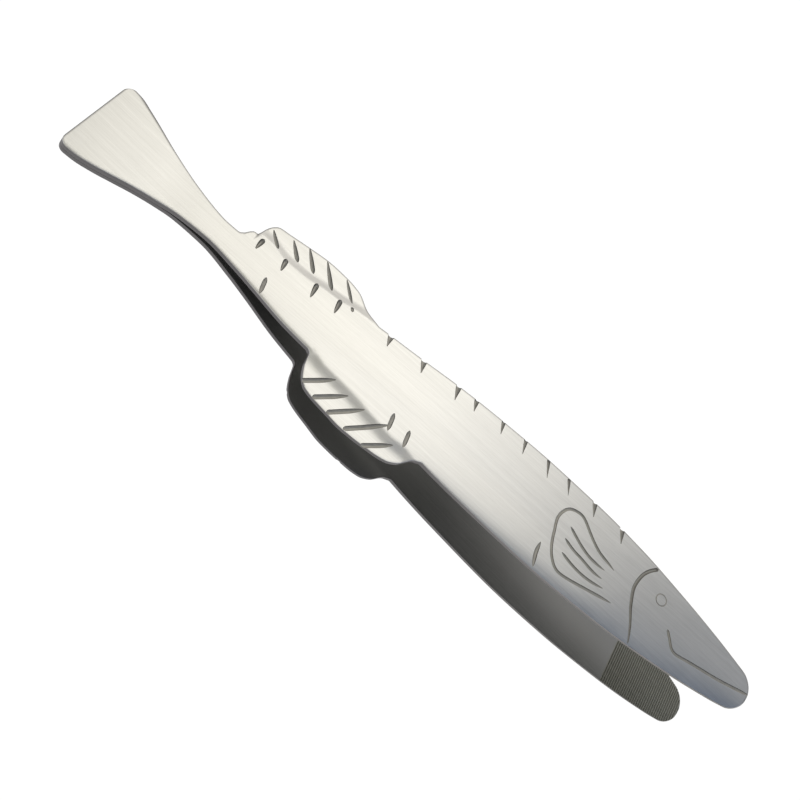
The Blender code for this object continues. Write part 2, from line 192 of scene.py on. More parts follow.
@dataclass(frozen=True)
class FishForm:
    """The plan outline of the fish and the form of one arm's sheet.

    The tables of shares hold a share of the way along and a share of the size across. The feet of the
    fins are places and shifts in millimetres.
    """

    length: float = 150.3 * MM
    middle: Pair = (75.054 * MM, -0.9517 * MM)
    neck_place: float = 28.2 * MM
    neck_top: float = 2.8 * MM
    neck_bottom: float = 2.32 * MM
    tail_top: float = 9.36 * MM
    tail_bottom: float = 8.27 * MM
    tail_corner: float = 1.8 * MM
    tail_slant: float = 0.06
    flat_tail: float = 17.7 * MM
    back_height: float = 9.95 * MM
    belly_depth: float = 8.87 * MM
    nose_corner: float = 3.0 * MM
    dorsal_start: float = 33.5 * MM
    dorsal_length: float = 25.6 * MM
    dorsal_height: float = 5.5 * MM
    dorsal_slope: float = 3.0 * MM
    anal_start: float = 52.3 * MM
    anal_length: float = 26.6 * MM
    anal_depth: float = 6.7 * MM
    anal_slope: float = 4.2 * MM
    run_out: float = 1.8
    fin_step: float = 0.45 * MM
    fin_sheet: float = 0.8 * MM
    sheet: float = 1.1 * MM
    seam: float = 0.05 * MM
    tip_rise: float = 9.19 * MM
    tip_sheet: float = 0.7 * MM
    tip_taper: float = 22 * MM
    crown_slope: float = 0.155
    crown_start: float = 62 * MM
    crown_full: float = 126 * MM
    crest_shares: Pair = (0.40, 0.70)
    crown_spread: Pair = (112 * MM, 130 * MM)
    crown_limit: float = 1.2
    roll_slope: float = 0.10
    roll_width: float = 3.0 * MM
    lead_in: Pair = (8 * MM, 4 * MM)

    tail_top_shares: Points = ((0, 1), (0.11, 0.975), (0.21, 0.865), (0.32, 0.724), (0.47, 0.516),
                               (0.63, 0.322), (0.74, 0.196), (0.92, 0.038))
    tail_bottom_shares: Points = ((0, 1), (0.12, 0.95), (0.245, 0.806), (0.37, 0.607), (0.50, 0.40),
                                  (0.63, 0.23), (0.77, 0.082), (0.92, 0.016))
    back_shares: Points = ((0, 0), (0.021, 0.01), (0.028, 0.099), (0.033, 0.241), (0.038, 0.314),
                           (0.044, 0.322), (0.10, 0.326), (0.136, 0.354), (0.173, 0.434), (0.21, 0.535),
                           (0.254, 0.61), (0.328, 0.72), (0.396, 0.842), (0.48, 0.945), (0.57, 1.003),
                           (0.66, 0.989), (0.75, 0.888), (0.83, 0.702), (0.92, 0.445), (1, 0.16))
    belly_shares: Points = ((0, 0), (0.052, 0.101), (0.089, 0.21), (0.155, 0.417), (0.22, 0.519),
                            (0.28, 0.591), (0.337, 0.606), (0.37, 0.67), (0.416, 0.861), (0.51, 0.962),
                            (0.617, 1.002), (0.736, 0.898), (0.857, 0.638), (0.95, 0.313), (1, 0.06))
    dorsal_shares: Points = ((0, 0), (0.02, 0.44), (0.048, 0.67), (0.078, 0.78), (0.16, 0.84),
                             (0.297, 0.94), (0.453, 1), (0.625, 0.88), (0.758, 0.66), (0.883, 0.24), (1, 0))
    anal_shares: Points = ((0, 0), (0.022, 0.05), (0.034, 0.19), (0.052, 0.41), (0.097, 0.71),
                           (0.149, 0.86), (0.216, 0.91), (0.34, 0.95), (0.466, 1), (0.58, 0.985),
                           (0.70, 0.925), (0.81, 0.79), (0.884, 0.55), (0.95, 0.15), (1, 0))
    rise_shares: Points = ((0, 0), (0.048, 0.027), (0.093, 0.061), (0.138, 0.1045), (0.184, 0.157),
                           (0.229, 0.2145), (0.274, 0.2775), (0.32, 0.344), (0.365, 0.407), (0.41, 0.466),
                           (0.456, 0.52), (0.509, 0.57), (0.562, 0.615), (0.622, 0.666), (0.698, 0.729),
                           (0.773, 0.794), (0.849, 0.861), (0.924, 0.931), (1, 1))
    roll_shares: Points = ((0, 0), (0.215, 0), (0.28, 1), (0.34, 1), (0.373, 0), (0.49, 0), (0.56, 1),
                           (0.693, 1), (0.827, 0.4), (1, 0.3))

    dorsal_foot: Points = ((33.5, 0.3), (36, 0.3), (40, -0.55), (44, -0.6), (47.7, -0.35), (51.2, -0.5),
                           (54.5, -0.3), (59, -0.2))
    anal_foot: Points = ((52.3, -0.65), (54, -0.65), (56.3, -0.32), (60, -0.27), (63.3, -0.07), (67, 0.58),
                         (72, 1.1), (76, 0.33), (79, 0.3))

    def body_place(self, along: Array) -> Array:
        """Turns a share of the way from neck to nose into a place."""
        return self.neck_place + (self.length - self.neck_place) * along

    def edge(self, tail_shares: Points, body_shares: Points, tail: float, neck: float,
             body: float) -> EdgeCurve:
        """Joins the tail's and the body's stretch of one edge.

        Args:
            tail_shares: Share of the neck's place, share of the way from neck width to tail width.
            body_shares: Share of the way from neck to nose, share of the way from neck to body width.
            tail: The tail fin's width on this side of the axis.
            neck: The neck's width there.
            body: The body's width there.

        Returns:
            The edge's distance from the axis as a curve over the place.
        """
        points = [(self.neck_place * along, neck + (tail - neck) * share) for along, share in tail_shares]
        points += [(self.body_place(along), neck + (body - neck) * share) for along, share in body_shares]
        return EdgeCurve(tuple(points))

    @property
    def back(self) -> EdgeCurve:
        """The back edge without its fin."""
        return self.edge(self.tail_top_shares, self.back_shares, self.tail_top, self.neck_top,
                         self.back_height)

    @property
    def belly(self) -> EdgeCurve:
        """The belly edge without its fin, as a distance from the axis."""
        return self.edge(self.tail_bottom_shares, self.belly_shares, self.tail_bottom, self.neck_bottom,
                         self.belly_depth)

    @property
    def dorsal_fin(self) -> EdgeCurve:
        """How far the dorsal fin reaches beyond the back."""
        return EdgeCurve(tuple((self.dorsal_start + self.dorsal_length * along, self.dorsal_height * share)
                               for along, share in self.dorsal_shares))

    @property
    def anal_fin(self) -> EdgeCurve:
        """How far the anal fin reaches beyond the belly."""
        return EdgeCurve(tuple((self.anal_start + self.anal_length * along, self.anal_depth * share)
                               for along, share in self.anal_shares))

    def corner_loss(self, place: Array) -> Array:
        """How far the round corners of the tail end and the nose draw an edge in, by a circle's formula.

        Args:
            place: Places along the fish.

        Returns:
            How far the edge lies nearer to the axis there.
        """
        loss = np.zeros_like(place)
        for radius, distance in ((self.tail_corner, place), (self.nose_corner, self.length - place)):
            reach = np.clip(radius - distance, 0, radius)
            loss = loss + radius - np.sqrt(radius ** 2 - reach ** 2)
        return loss

    def top(self, place: Array) -> Array:
        """The upper edge of the outline."""
        return self.back(place) + self.dorsal_fin(place) - self.corner_loss(place)

    def bottom(self, place: Array) -> Array:
        """The lower edge of the outline."""
        return -self.belly(place) - self.anal_fin(place) + self.corner_loss(place)

    def slanted(self, place: Array, height: Array) -> Array:
        """Shifts places on the tail fin, whose end isn't square: in proportion to height and nearness."""
        on_tail = np.clip(1 - place / self.flat_tail, 0, None)
        return place + self.tail_slant * (height + self.tail_bottom) * on_tail

    def foot(self, shifts: Points, place: Array) -> Array:
        """How far beyond the body's own edge the slope to a fin begins."""
        return EdgeCurve(tuple((at * MM, shift * MM) for at, shift in shifts))(place)

    def fin_share(self, place: Array, height: Array) -> Array:
        """Gives 0 on the body and 1 on a fin. The slope between them is steep first and then runs out.

        Args:
            place: Places along the fish.
            height: Heights across it.

        Returns:
            The shares.
        """
        on_dorsal = (height - self.back(place) - self.foot(self.dorsal_foot, place)) / self.dorsal_slope
        on_anal = (-height - self.belly(place) - self.foot(self.anal_foot, place)) / self.anal_slope
        share = np.clip(np.maximum(on_dorsal, on_anal), 0, 1)
        return smooth_step(1 - (1 - share) ** self.run_out)

    def crown_drop(self, place: Array, height: Array) -> Array:
        """How far the face falls off towards the belly: the cube of the distance below the crest.

        Args:
            place: Places along the fish.
            height: Heights across it.

        Returns:
            The drops, nil above the crest and growing towards the nose.
        """
        back, belly = self.back(place), self.belly(place)
        low, high = self.crest_shares
        start, end = self.crown_spread
        reach = (back + belly) * (low + (high - low) * smooth_step((place - start) / (end - start)))
        below = np.clip((reach - belly - height) / reach, 0, self.crown_limit)
        growth = smooth_step((place - self.crown_start) / (self.crown_full - self.crown_start))
        return self.crown_slope / 3 * reach * growth * below ** 3

    def roll_off(self, place: Array, height: Array) -> Array:
        """How far the face rolls off just before the belly edge: the cube of the nearness to it.

        Args:
            place: Places along the fish.
            height: Heights across it.

        Returns:
            The drops.
        """
        near = np.clip(1 - (height + self.belly(place)) / self.roll_width, 0, 1)
        share = EdgeCurve(self.roll_shares)(place / self.length)
        return self.roll_slope / 3 * self.roll_width * share * near ** 3

    def rise(self, place: Array) -> Array:
        """How far the sheet has risen off the middle plane.

        An evenly bending curve runs through the table's points, and on level points before them.

        Args:
            place: Places along the fish.

        Returns:
            The heights of the inner face, without the seam and the fins' step.
        """
        reach = self.length - self.flat_tail
        points = tuple((self.flat_tail + reach * along, self.tip_rise * share)
                       for along, share in self.rise_shares)
        lead = tuple((self.flat_tail - before, 0.0) for before in self.lead_in)
        return np.where(place < lead[0][0], 0, BentCurve(lead + points)(place))

    def tip_loss(self, place: Array) -> Array:
        """How much the nose is ground off: the share of the way there, squared, times 2 less the share."""
        share = np.clip(1 - (self.length - place) / self.tip_taper, 0, 1)
        return (self.sheet - self.tip_sheet) * share * share * (2 - share)

    def outer(self, place: Array, height: Array) -> Array:
        """Distance of the outer face from the middle plane: seam, sheet and rise, less what is taken off.

        Args:
            place: Places along the fish.
            height: Heights across it.

        Returns:
            The distances.
        """
        taken = self.fin_step * self.fin_share(place, height)
        taken = taken + self.crown_drop(place, height) + self.roll_off(place, height)
        return self.seam / 2 + self.sheet + self.rise(place) - self.tip_loss(place) - taken

    def inner(self, place: Array, height: Array) -> Array:
        """Distance of the inner face from the middle plane: seam and rise, less the fins' step there."""
        pressed = (self.fin_step - self.sheet + self.fin_sheet) * self.fin_share(place, height)
        return self.seam / 2 + self.rise(place) - pressed


# Engraved marks


@dataclass(frozen=True)
class Stroke:
    """One engraved mark in millimetres: how the graver is led, and the points that it is led through.

    It grows wide over the start's share of its length and fine again over the end's share.
    """

    width: float
    start_share: float = 0.25
    end_share: float = 0.25
    swell: float = 0.35
    depth_share: float = 0.38
    closed: bool = False
    points: Points = ()

    def along(self, points: Points) -> "Stroke":
        """The same kind of mark through other points."""
        return replace(self, points=points)


@dataclass(frozen=True)
class Graver:
    """Cuts marks with a round-bottomed profile, which it carries along each stroke."""

    form: FishForm
    least_share: float = 0.16
    clearance: float = 0.30 * MM
    step: float = 0.30 * MM
    least_points: int = 7
    profile: tuple[float, ...] = (180, 215, 250, 290, 325, 360)

    def path(self, stroke: Stroke) -> Array:
        """Runs an even, smooth path through a stroke's points.

        The points are joined by an evenly bending curve over the length of their chords, and the curve is
        taken at even steps. Two points are joined by a straight line.

        Args:
            stroke: The mark.

        Returns:
            An array of places and heights in metres, one row a point.
        """
        points = np.array(stroke.points, dtype=float) * MM
        if stroke.closed:
            points = np.vstack([points, points[:1]])
        chords = np.concatenate([[0], np.cumsum(np.linalg.norm(np.diff(points, axis=0), axis=1))])
        count = max(int(math.ceil(chords[-1] / self.step)) + 1, self.least_points)
        at = np.linspace(0, chords[-1], count)
        if len(points) == 2:
            return np.stack([np.interp(at, chords, way) for way in points.T], axis=1)
        return np.stack([BentCurve(tuple(zip(chords, way)))(at) for way in points.T], axis=1)

    def width_along(self, stroke: Stroke, count: int) -> Array:
        """The share of the full width at each point of a path.

        It grows from the least share as a power of a sine over the start's share of the length, and narrows
        in the same way towards the end. The more it swells, the sooner it is wide.

        Args:
            stroke: The mark.
            count: How many points the path has.

        Returns:
            The shares, all 1 for a closed mark.
        """
        if stroke.closed:
            return np.ones(count)
        at = np.linspace(0, 1, count)
        start = np.clip(at / max(stroke.start_share, TINY), 0, 1)
        end = np.clip((1 - at) / max(stroke.end_share, TINY), 0, 1)
        rise = np.sin(start * math.pi / 2) * np.sin(end * math.pi / 2)
        return self.least_share + (1 - self.least_share) * np.maximum(rise, 0) ** (1 / (1 + stroke.swell))

    def tool(self, strokes: tuple[Stroke, ...], side: Side, name: str) -> bpy.types.Object:
        """Makes the cutting tool for a set of strokes on one arm.

        Each stroke is a tube. Its ring of eight points stands across the path: six on the lower half of an
        ellipse whose middle is in the face, and two above the face.

        Args:
            strokes: The marks.
            side: Which arm is cut.
            name: Name of the tool.

        Returns:
            The tool as a mesh object.
        """
        vertices, faces, start = [], [], 0
        turns = np.radians(self.profile)
        for stroke in strokes:
            path = self.path(stroke)
            if stroke.closed:
                path = path[:-1]
                ahead = np.roll(path, -1, axis=0) - np.roll(path, 1, axis=0)
            else:
                ahead = np.gradient(path, axis=0)
            ahead = ahead / np.linalg.norm(ahead, axis=1, keepdims=True)
            across = np.stack([-ahead[:, 1], ahead[:, 0]], axis=1)
            half = self.width_along(stroke, len(path)) * stroke.width * MM / 2
            level = self.form.outer(np.clip(path[:, 0], 0, self.form.length), path[:, 1])
            offset = np.column_stack([np.outer(half, np.cos(turns)), half, -half])
            lift = np.column_stack([np.outer(half * 2 * stroke.depth_share, np.sin(turns)),
                                    np.full((len(path), 2), self.clearance)])
            ring = np.stack([path[:, :1] + across[:, :1] * offset, path[:, 1:] + across[:, 1:] * offset,
                             level[:, None] + lift], axis=2)
            size = ring.shape[1]
            vertices.append(ring.reshape(-1, 3))
            faces += tube_faces(len(path), size, start, stroke.closed)
            start += len(path) * size
        return cutting_tool(name, np.vstack(vertices), faces, side, self.form)


def tube_faces(count: int, size: int, start: int, closed: bool) -> list[list[int]]:
    """Faces of a tube of rings.

    Args:
        count: How many rings.
        size: Points in a ring.
        start: Number of the first point.
        closed: Whether the last ring meets the first, or both ends are capped.

    Returns:
        Lists of point numbers, one a face.
    """
    rings = count if closed else count - 1
    ring = np.arange(rings)[:, None]
    point = np.arange(size)[None, :]
    following, turned = (ring + 1) % count, (point + 1) % size
    quads = np.stack([ring * size + point, ring * size + turned, following * size + turned,
                      following * size + point], axis=2).reshape(-1, 4) + start
    faces = quads.tolist()
    if not closed:
        faces.append((start + np.arange(size)[::-1]).tolist())
        faces.append((start + (count - 1) * size + np.arange(size)).tolist())
    return faces


def cutting_tool(name: str, points: Array, faces: list[list[int]], side: Side,
                 form: FishForm) -> bpy.types.Object:
    """Puts a cutting tool where its arm is.

    Args:
        name: Name of the tool.
        points: Places, heights and levels, one row a point.
        faces: Lists of point numbers.
        side: Which arm it cuts.
        form: The fish, for its middle.

    Returns:
        The tool's object, with its faces pointing outwards.
    """
    moved = points - np.array([*form.middle, 0])
    moved[:, 2] *= side.value
    mesh = bpy.data.meshes.new(name)
    mesh.from_pydata(moved.tolist(), [], faces)
    mesh.update()
    make_faces_point_outwards(mesh)
    return add_object(name, mesh)


def make_faces_point_outwards(mesh: bpy.types.Mesh) -> None:
    """Turns the faces of a closed mesh so that they point outwards.

    Args:
        mesh: The mesh.
    """
    bm = bmesh.new()
    bm.from_mesh(mesh)
    bmesh.ops.recalc_face_normals(bm, faces=bm.faces)
    bm.to_mesh(mesh)
    bm.free()


# How deep the deepest marks are, as a share of their width
DEEP = 0.47


@dataclass(frozen=True)
class Engraving:
    """All the marks of one arm, in millimetres along and across the fish: each kind, then the points."""

    ray: Stroke = Stroke(0.84, 0.75, 0.2, depth_share=DEEP)
    last_ray: Stroke = Stroke(0.62, 0.5, 0.3, depth_share=DEEP)
    anal_ray: Stroke = Stroke(0.92, 0.08, 0.5)
    dash: Stroke = Stroke(0.94, 0.2, 0.8, depth_share=DEEP)
    belly_dash: Stroke = Stroke(0.80, 0.3, 0.35)
    slip: Stroke = Stroke(0.60, 0.15, 0.4)
    notch: Stroke = Stroke(1.0, 0.0, 1.0, swell=-0.3, depth_share=DEEP)
    notch_widths: tuple[float, ...] = (1.25, 1.25, 1.15, 1.0, 0.82, 0.78, 0.70, 0.66, 1.05, 1.10)
    notch_reach: float = 0.7
    fin_line: Stroke = Stroke(0.58, 0.08, 0.08)
    fin_ray: Stroke = Stroke(0.58, 0.12, 0.3)
    gill_line: Stroke = Stroke(0.70, 0.02, 0.7, swell=1.2, depth_share=DEEP)
    mouth_line: Stroke = Stroke(0.58, 0.02, 0.1)
    belly_mark: Stroke = Stroke(0.78, 0.4, 0.4)
    eye_line: Stroke = Stroke(0.22, closed=True)
    eye_centre: Pair = (127.4, 3.85)
    eye_radius: float = 1.08
    eye_points: int = 20

    dorsal_rays: tuple[Points, ...] = (((34.90, 8.11), (37.59, 5.54)), ((38.55, 9.29), (41.57, 6.35)),
                                       ((41.43, 10.31), (44.84, 6.72)), ((45.20, 10.66), (49.05, 6.49)),
                                       ((49.77, 10.41), (53.08, 7.23)))
    anal_rays: tuple[Points, ...] = (((54.88, -10.86), (59.14, -6.61)), ((57.97, -11.92), (62.44, -7.35)),
                                     ((61.33, -12.40), (65.96, -7.39)), ((65.14, -12.70), (70.84, -6.52)),
                                     ((69.06, -12.99), (73.35, -8.92)))
    dorsal_dashes: tuple[Points, ...] = (((34.80, 5.10), (34.77, 2.51)), ((39.83, 5.17), (40.38, 2.51)),
                                         ((46.43, 5.57), (47.00, 2.42)), ((51.20, 6.18), (51.77, 3.16)))
    back_notches: tuple[Points, ...] = (
        ((61.74, 7.05), (62.19, 5.13)), ((68.81, 7.73), (69.56, 5.54)), ((76.27, 8.42), (77.00, 5.99)),
        ((80.30, 8.62), (80.86, 6.87)), ((86.35, 9.01), (87.02, 7.06)), ((91.47, 9.29), (92.17, 7.04)),
        ((96.91, 9.36), (98.18, 6.78)), ((101.87, 9.27), (103.05, 7.04)), ((108.00, 9.50), (109.00, 7.27)),
        ((114.77, 9.30), (115.80, 6.96)))
    belly_dashes: tuple[Points, ...] = (((39.38, -0.36), (40.30, -3.65)), ((70.23, -4.12), (71.06, -7.58)),
                                        ((74.08, -4.70), (74.82, -8.06)))
    slips: tuple[Points, ...] = (((53.45, 6.50), (54.00, 5.75)), ((131.10, 0.20), (132.30, -1.08)))
    belly_line: Points = ((103.48, -3.85), (103.74, -5.87), (104.75, -8.38))
    pectoral_fin: Points = (
        (119.78, -3.57), (117.94, -4.01), (115.35, -4.68), (112.77, -5.34), (110.14, -5.91),
        (108.34, -5.89), (107.15, -5.17), (105.96, -3.85), (104.91, -1.78), (104.27, 0.09), (103.67, 2.00),
        (103.81, 3.69), (104.69, 5.20), (105.86, 5.76), (107.33, 5.87), (108.58, 5.31), (110.15, 4.27),
        (111.58, 3.42), (113.65, 2.53), (115.73, 2.12), (117.23, 1.80))
    pectoral_rays: tuple[Points, ...] = (
        ((107.57, -2.53), (109.16, -2.91), (112.08, -3.27), (114.40, -3.14), (117.16, -2.48)),
        ((106.75, 0.07), (108.58, -0.55), (111.21, -0.90), (113.21, -1.21), (114.94, -1.31),
         (116.11, -1.16)),
        ((106.48, 2.58), (108.38, 1.72), (110.75, 0.82), (113.14, 0.39), (115.79, 0.51)))
    gill: Points = ((124.19, 8.30), (123.09, 7.00), (122.23, 5.30), (121.91, 3.50), (121.96, 1.87),
                    (122.48, 0.23), (123.33, -1.70), (124.37, -3.45), (125.35, -5.23), (126.24, -7.07))
    mouth: Points = ((131.22, 0.00), (132.27, -1.00), (133.87, -2.40), (135.94, -2.23), (139.23, -1.46),
                     (143.14, -0.62), (146.97, 0.43), (150.5, 1.50))

    def from_the_edge(self, line: Points) -> Points:
        """Draws a notch's outer end beyond the back, so that it opens at the edge.

        Args:
            line: The notch's outer and inner point.

        Returns:
            The same with the outer point drawn out.
        """
        (place, height), (inner_place, inner_height) = line
        share = self.notch_reach / math.hypot(inner_place - place, inner_height - height)
        return ((place + (place - inner_place) * share, height + (height - inner_height) * share), line[1])

    def sets(self) -> dict[str, tuple[Stroke, ...]]:
        """Sorts the marks into sets whose members don't cross.

        Returns:
            The strokes of each set, by the set's name.
        """
        rays = [self.ray.along(line) for line in self.dorsal_rays[:-1]]
        rays.append(self.last_ray.along(self.dorsal_rays[-1]))
        rays += [self.anal_ray.along(line) for line in self.anal_rays]
        dashes = [self.dash.along(line) for line in self.dorsal_dashes]
        dashes += [replace(self.notch, width=width, points=self.from_the_edge(line))
                   for line, width in zip(self.back_notches, self.notch_widths)]
        dashes += [self.belly_dash.along(line) for line in self.belly_dashes]
        dashes += [self.slip.along(line) for line in self.slips]
        lines = [self.fin_line.along(self.pectoral_fin), self.gill_line.along(self.gill),
                 self.mouth_line.along(self.mouth), self.belly_mark.along(self.belly_line)]
        lines += [self.fin_ray.along(line) for line in self.pectoral_rays]
        angles = np.linspace(0, 2 * math.pi, self.eye_points, endpoint=False)
        ring = tuple((self.eye_centre[0] + self.eye_radius * math.cos(angle),
                      self.eye_centre[1] + self.eye_radius * math.sin(angle)) for angle in angles)
        return {"rays": tuple(rays), "dashes": tuple(dashes), "lines": tuple(lines),
                "eye": (self.eye_line.along(ring),)}


@dataclass(frozen=True)
class GripCuts:
    """The straight cuts across a gripping face, each a V that follows the inner face."""

    form: FishForm
    start: float = 132.45 * MM
    slant: float = 0.10
    pivot: float = -2.5 * MM
    pitch: float = 0.49 * MM
    width: float = 0.36 * MM
    depth: float = 0.16 * MM
    first_share: float = 0.4
    overrun: float = 0.6 * MM
    points_across: int = 9

    def lean(self, height: Array) -> Array:
        """How much nearer to the nose a cut lies at a height than at the pivot: more, the lower it is."""
        return self.slant * (self.pivot - height)

    def tool(self, side: Side, name: str) -> bpy.types.Object:
        """Makes the cutting tool for the whole grip.

        Each cut is a bar with three points in its ring: two above the face, where its walls reach when
        they are carried on, and one at its root. The first cut lies a share of a pitch beyond the nose.

        Args:
            side: Which arm is cut.
            name: Name of the tool.

        Returns:
            The tool as a mesh object.
        """
        first = self.form.length + self.first_share * self.pitch
        places = np.arange(first, self.start, -self.pitch)
        share = np.linspace(0, 1, self.points_across)[None, :]
        within = np.minimum(places, self.form.length)
        bottom = self.form.bottom(within)[:, None] - self.overrun
        top = self.form.top(within)[:, None] + self.overrun
        height = bottom + (top - bottom) * share
        place = places[:, None] + self.lean(height)
        face = self.form.inner(place, np.clip(height, bottom + self.overrun, top - self.overrun))
        corners = ((-self.width, -self.depth), (self.width, -self.depth), (0.0, self.depth))
        ring = np.stack([np.stack([place + ahead, height, face + level], axis=2)
                         for ahead, level in corners], axis=2)
        size, faces = len(corners), []
        for cut in range(len(places)):
            faces += tube_faces(self.points_across, size, cut * self.points_across * size, False)
        return cutting_tool(name, ring.reshape(-1, 3), faces, side, self.form)


# The arms


@dataclass
class Arm:
    """One arm as a single sheet from the tail fin to the nose, with its marks and its gripping face."""

    side: Side
    form: FishForm
    engraving: Engraving
    columns_apart: float = 0.5 * MM
    columns_apart_at_fins: float = 0.22 * MM
    dorsal_margins: Points = ((-3.8 * MM, 3 * MM), (-4 * MM, 0.5 * MM))
    anal_margins: Points = ((-1 * MM, 4.5 * MM), (-6 * MM, 1 * MM))
    grip_margin: Pair = (-1 * MM, 1 * MM)
    rows: int = 53
    outer_round: float = 0.16 * MM
    inner_round: float = 0.12 * MM
    full_round_sheet: float = 0.6 * MM
    round_steps: int = 5
    wear_reach: float = 1.5 * MM
    # How far in the painted shade along the back, tail end and nose reaches, and how strong it is
    back_shade_reach: float = 0.55 * MM
    back_shade_share: float = 0.8
    corner_steps: int = 14
    bend_start: float = 21.7 * MM
    bend_end: float = 39.7 * MM
    sharp_angle: float = 33
    slope_step: float = 0.02 * MM

    @property
    def name(self) -> str:
        """The arm's name in the frame."""
        return "upper_arm" if self.side is Side.UPPER else "lower_arm"

    def columns(self) -> Array:
        """Places of the columns: even steps, finer at both ends of each fin and at the first grip cut.

        The margins say how far before and beyond these places the finer steps go. Round a corner of the
        outline the columns lie at even turns of its circle.

        Returns:
            The places, from the tail end to the nose.
        """
        form = self.form
        turns = 1 - np.cos(np.linspace(0, math.pi / 2, self.corner_steps))
        tail = form.tail_corner * turns
        nose = form.length - form.nose_corner * turns[::-1]
        ends = (form.dorsal_start, form.dorsal_start + form.dorsal_length,
                form.anal_start, form.anal_start + form.anal_length, GripCuts.start)
        margins = (*self.dorsal_margins, *self.anal_margins, self.grip_margin)
        fine = [(end + before, end + beyond) for end, (before, beyond) in zip(ends, margins)]
        marks = sorted({tail[-1], nose[0], *[place for pair in fine for place in pair]})
        places = [tail]
        for start, end in zip(marks, marks[1:]):
            middle = (start + end) / 2
            inside = any(low <= middle <= high for low, high in fine)
            apart = self.columns_apart_at_fins if inside else self.columns_apart
            places.append(np.linspace(start, end, int(math.ceil((end - start) / apart)) + 1)[1:])
        places.append(nose[1:])
        return np.concatenate(places)

    def ring_numbers(self, columns: int) -> Array:
        """Numbers of a grid's border points, once round: belly, nose, back and tail end."""
        grid = np.arange(columns * self.rows).reshape(columns, self.rows)
        return np.concatenate([grid[:, 0], grid[-1, 1:-1], grid[::-1, -1], grid[0, -2:0:-1]])

    def plan(self, places: Array) -> tuple[Array, Array]:
        """The outline once round and the outward direction at each of its points.

        The direction is square to the mean of the directions of the two stretches that meet there.

        Args:
            places: Places of the columns.

        Returns:
            Two arrays of two columns, in the order of ring_numbers.
        """
        share = np.linspace(0, 1, self.rows)[None, :]
        bottom, top = self.form.bottom(places)[:, None], self.form.top(places)[:, None]
        height = bottom + (top - bottom) * share
        place = self.form.slanted(np.repeat(places[:, None], self.rows, axis=1), height)
        border = self.ring_numbers(len(places))
        ring = np.stack([place.ravel()[border], height.ravel()[border]], axis=1)
        ahead = np.roll(ring, -1, axis=0) - ring
        ahead /= np.maximum(np.linalg.norm(ahead, axis=1, keepdims=True), TINY)
        mean = ahead + np.roll(ahead, 1, axis=0)
        mean /= np.maximum(np.linalg.norm(mean, axis=1, keepdims=True), TINY)
        return ring, np.stack([mean[:, 1], -mean[:, 0]], axis=1)

    def face_grid(self, ring: Array, outwards: Array, inset: float, columns: int) -> Array:
        """Plan points of a face whose border is the outline drawn in by the rounded edge.

        Each column runs straight from its border point at the belly to the one at the back.

        Args:
            ring: The outline once round.
            outwards: The outward direction at each of its points.
            inset: How far the border is drawn in.
            columns: How many columns the grid has.

        Returns:
            The points by column, row and coordinate.
        """
        drawn = ring - outwards * inset
        bottom = drawn[:columns]
        nose = drawn[columns:columns + self.rows - 2]
        top = drawn[columns + self.rows - 2:2 * columns + self.rows - 2][::-1]
        tail = drawn[2 * columns + self.rows - 2:][::-1]
        share = np.linspace(0, 1, self.rows)[None, :, None]
        grid = bottom[:, None, :] * (1 - share) + top[:, None, :] * share
        grid[-1, 1:-1] = nose
        grid[0, 1:-1] = tail
        return grid

    def lay_out(self) -> tuple[Array, list[Array], Array]:
        """Works out the whole sheet.

        Two grids are the faces. The rings between them are the rounded edge: a quarter of a circle at each
        face, drawn in from the outline, and the straight edge between. Where the sheet is thin, the quarter
        circles are flattened in proportion.

        Returns:
            The points, the faces as arrays of point numbers, and each face's zone.
        """
        form, places = self.form, self.columns()
        columns = len(places)
        ring, outwards = self.plan(places)
        levels = []
        for inset, face in ((self.outer_round, form.outer), (self.inner_round, form.inner)):
            grid = self.face_grid(ring, outwards, inset, columns).reshape(-1, 2)
            levels.append(np.column_stack([grid, face(grid[:, 0], grid[:, 1])]))
        turns = np.linspace(0, math.pi / 2, self.round_steps + 1)[1:]
        sheet = form.outer(ring[:, 0], ring[:, 1]) - form.inner(ring[:, 0], ring[:, 1])
        fit = np.clip(sheet / self.full_round_sheet, 0, 1)
        for radius, face, inwards, order in ((self.outer_round, form.outer, -1, turns),
                                             (self.inner_round, form.inner, 1, turns[::-1])):
            for turn in order:
                plan = ring - outwards * radius * (1 - math.sin(turn))
                level = face(plan[:, 0], plan[:, 1]) + inwards * fit * radius * (1 - math.cos(turn))
                levels.append(np.column_stack([plan, level]))
        points = np.vstack(levels)
        size = columns * self.rows
        grid = np.arange(size).reshape(columns, self.rows)
        corners = [grid[:-1, :-1], grid[1:, :-1], grid[1:, 1:], grid[:-1, 1:]]
        outer_faces = np.stack(corners, axis=2).reshape(-1, 4)
        inner_faces = outer_faces[:, ::-1] + size
        border = self.ring_numbers(columns)
        loops = [border]
        loops += [2 * size + len(border) * step + np.arange(len(border)) for step in range(2 * len(turns))]
        loops.append(border + size)
        edge_faces = np.vstack([np.stack([upper, lower, np.roll(lower, -1), np.roll(upper, -1)], axis=1)
                                for upper, lower in zip(loops, loops[1:])])
        cuts, inner_points = GripCuts(form), levels[1]
        reached = (inner_points[:, 0] - cuts.lean(inner_points[:, 1])).reshape(columns, self.rows)
        grip = ((reached[:-1, :-1] + reached[1:, 1:]) / 2 > cuts.start).ravel()
        polished = np.arange(len(edge_faces)) < self.round_steps * len(border)
        zones = np.concatenate([np.full(len(outer_faces), Face.OUTER.value),
                                np.where(grip, Face.GRIP.value, Face.INNER.value),
                                np.where(polished, Face.OUTER.value, Face.RIM.value)])
        return points, [outer_faces, inner_faces, edge_faces], zones

